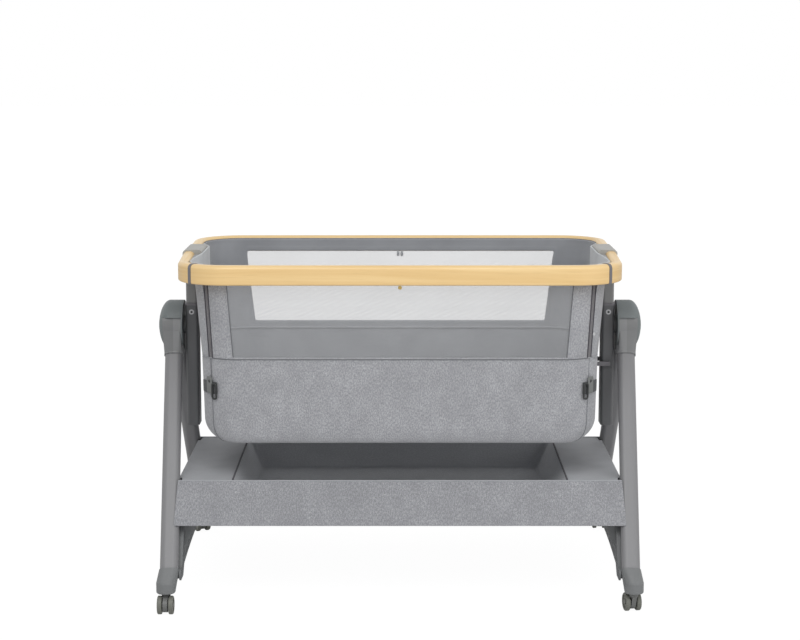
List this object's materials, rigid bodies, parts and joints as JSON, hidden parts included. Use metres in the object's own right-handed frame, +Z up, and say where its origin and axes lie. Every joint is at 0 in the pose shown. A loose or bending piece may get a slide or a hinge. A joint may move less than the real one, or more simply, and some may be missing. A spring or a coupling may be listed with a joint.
{
  "type": "bedside crib",
  "caption": "Bedside crib: fabric bassinet in an oval wood-look rail with a fold-down mesh side, telescoping posts, splayed legs on casters and a fabric storage base.",
  "frame": {"origin": "on the floor, under the middle of the crib", "axes": "+X along the crib, +Y from the fold-down front side to the rear, +Z up"},
  "size_m": [1.0486, 0.73, 0.717],
  "materials": {
    "leg_paint": "satin grey powder coat",
    "post_paint": "satin dark grey powder coat",
    "hub_plastic": "fine matte texture",
    "trim_plastic": "matte",
    "caster_plastic": "matte black",
    "wheel_plastic": "matte",
    "rail_wood": "pale wood grain, satin",
    "heather_cloth": "heathered grey cloth",
    "plain_cloth": "plain grey cloth",
    "netting": "fine netting",
    "mattress_cloth": "quilted pale cover",
    "board": "covered board",
    "zip": "matte",
    "steel": "plated",
    "brass": "polished"
  },
  "bodies": {
    "stand": {"left_front_leg": "leg_paint", "right_front_leg": "leg_paint", "left_rear_leg": "leg_paint", "right_rear_leg": "leg_paint", "left_leg_sockets": "hub_plastic", "right_leg_sockets": "hub_plastic", "hub_inner_covers": "hub_plastic", "left_hub_outer_cover": "hub_plastic", "right_hub_outer_cover": "hub_plastic", "hub_bolts": "steel", "left_post_sleeve": "post_paint", "right_post_sleeve": "post_paint", "post_collars": "trim_plastic", "post_rivets": "steel", "left_front_foot": "hub_plastic", "right_front_foot": "hub_plastic", "left_rear_foot": "hub_plastic", "right_rear_foot": "hub_plastic", "left_side_beam": "hub_plastic", "right_side_beam": "hub_plastic", "base_cross_bars": "leg_paint", "base_front_panel": "heather_cloth", "base_rear_panel": "heather_cloth", "base_end_panels": "heather_cloth", "base_tops": "plain_cloth", "basket_well": "plain_cloth", "base_bottom_board": "board"},
    "left_front_caster": {"left_front_caster": "caster_plastic"},
    "left_front_wheels": {"left_front_wheels": "wheel_plastic"},
    "right_front_caster": {"right_front_caster": "caster_plastic"},
    "right_front_wheels": {"right_front_wheels": "wheel_plastic"},
    "left_rear_caster": {"left_rear_caster": "caster_plastic"},
    "left_rear_wheels": {"left_rear_wheels": "wheel_plastic"},
    "right_rear_caster": {"right_rear_caster": "caster_plastic"},
    "right_rear_wheels": {"right_rear_wheels": "wheel_plastic"},
    "left_button": {"left_release_button": "trim_plastic"},
    "right_button": {"right_release_button": "trim_plastic"},
    "bassinet": {"inner_tubes": "post_paint", "rail_clamps": "trim_plastic", "rear_rail": "rail_wood", "end_rails": "rail_wood", "rail_rings": "trim_plastic", "tub_skirt": "heather_cloth", "left_end_wall": "heather_cloth", "right_end_wall": "heather_cloth", "rear_wall": "plain_cloth", "rear_mesh": "netting", "floor_board": "board", "wall_zip_tapes": "zip", "corner_straps": "trim_plastic", "guide_bracket": "trim_plastic"},
    "drop_side": {"front_rail": "rail_wood", "front_panel": "heather_cloth", "front_mesh": "netting", "panel_zip_tapes": "zip", "rail_snap": "brass"},
    "mattress": {"mattress": "mattress_cloth"},
    "left_zip": {"left_zip_slider": "steel"},
    "right_zip": {"right_zip_slider": "steel"}
  },
  "joints": [
    {"name": "left_front_swivel", "type": "hinge", "parent": "stand", "child": "left_front_caster", "pos_m": [-0.479, -0.333, 0.0425], "axis": [0, 0, 1], "continuous": true},
    {"name": "left_front_roll", "type": "hinge", "parent": "left_front_caster", "child": "left_front_wheels", "pos_m": [-0.479, -0.346, 0.019], "axis": [-1, 0, 0], "continuous": true},
    {"name": "right_front_swivel", "type": "hinge", "parent": "stand", "child": "right_front_caster", "pos_m": [0.479, -0.333, 0.0425], "axis": [0, 0, 1], "continuous": true},
    {"name": "right_front_roll", "type": "hinge", "parent": "right_front_caster", "child": "right_front_wheels", "pos_m": [0.47697, -0.32016, 0.019], "axis": [0.9877, 0.1564, 0], "continuous": true},
    {"name": "left_rear_swivel", "type": "hinge", "parent": "stand", "child": "left_rear_caster", "pos_m": [-0.479, 0.333, 0.0425], "axis": [0, 0, 1], "continuous": true},
    {"name": "left_rear_roll", "type": "hinge", "parent": "left_rear_caster", "child": "left_rear_wheels", "pos_m": [-0.47351, 0.32122, 0.019], "axis": [-0.9063, -0.4226, 0], "continuous": true},
    {"name": "right_rear_swivel", "type": "hinge", "parent": "stand", "child": "right_rear_caster", "pos_m": [0.479, 0.333, 0.0425], "axis": [0, 0, 1], "continuous": true},
    {"name": "right_rear_roll", "type": "hinge", "parent": "right_rear_caster", "child": "right_rear_wheels", "pos_m": [0.479, 0.346, 0.019], "axis": [1, 0, 0], "continuous": true},
    {"name": "left_button_press", "type": "slide", "parent": "stand", "child": "left_button", "axis": [1, 0, 0], "range_m": [0, 0.004], "stiffness_N_per_m": 400, "springref_m": -0.004},
    {"name": "right_button_press", "type": "slide", "parent": "stand", "child": "right_button", "axis": [-1, 0, 0], "range_m": [0, 0.004], "stiffness_N_per_m": 400, "springref_m": -0.004},
    {"name": "height_slide", "type": "slide", "parent": "stand", "child": "bassinet", "axis": [0, 0, 1], "range_m": [0, 0.12]},
    {"name": "side_fold", "type": "hinge", "parent": "bassinet", "child": "drop_side", "pos_m": [0, -0.232, 0.507], "axis": [1, 0, 0], "range_deg": [0, 168]},
    {"name": "mattress_lift", "type": "slide", "parent": "bassinet", "child": "mattress", "axis": [0, 0, 1], "range_m": [0, 0.35]},
    {"name": "left_zip_slide", "type": "slide", "parent": "bassinet", "child": "left_zip", "axis": [0.0498, 0.0741, -0.996], "range_m": [0, 0.125]},
    {"name": "right_zip_slide", "type": "slide", "parent": "bassinet", "child": "right_zip", "axis": [-0.0498, 0.0741, -0.996], "range_m": [0, 0.125]}
  ]
}
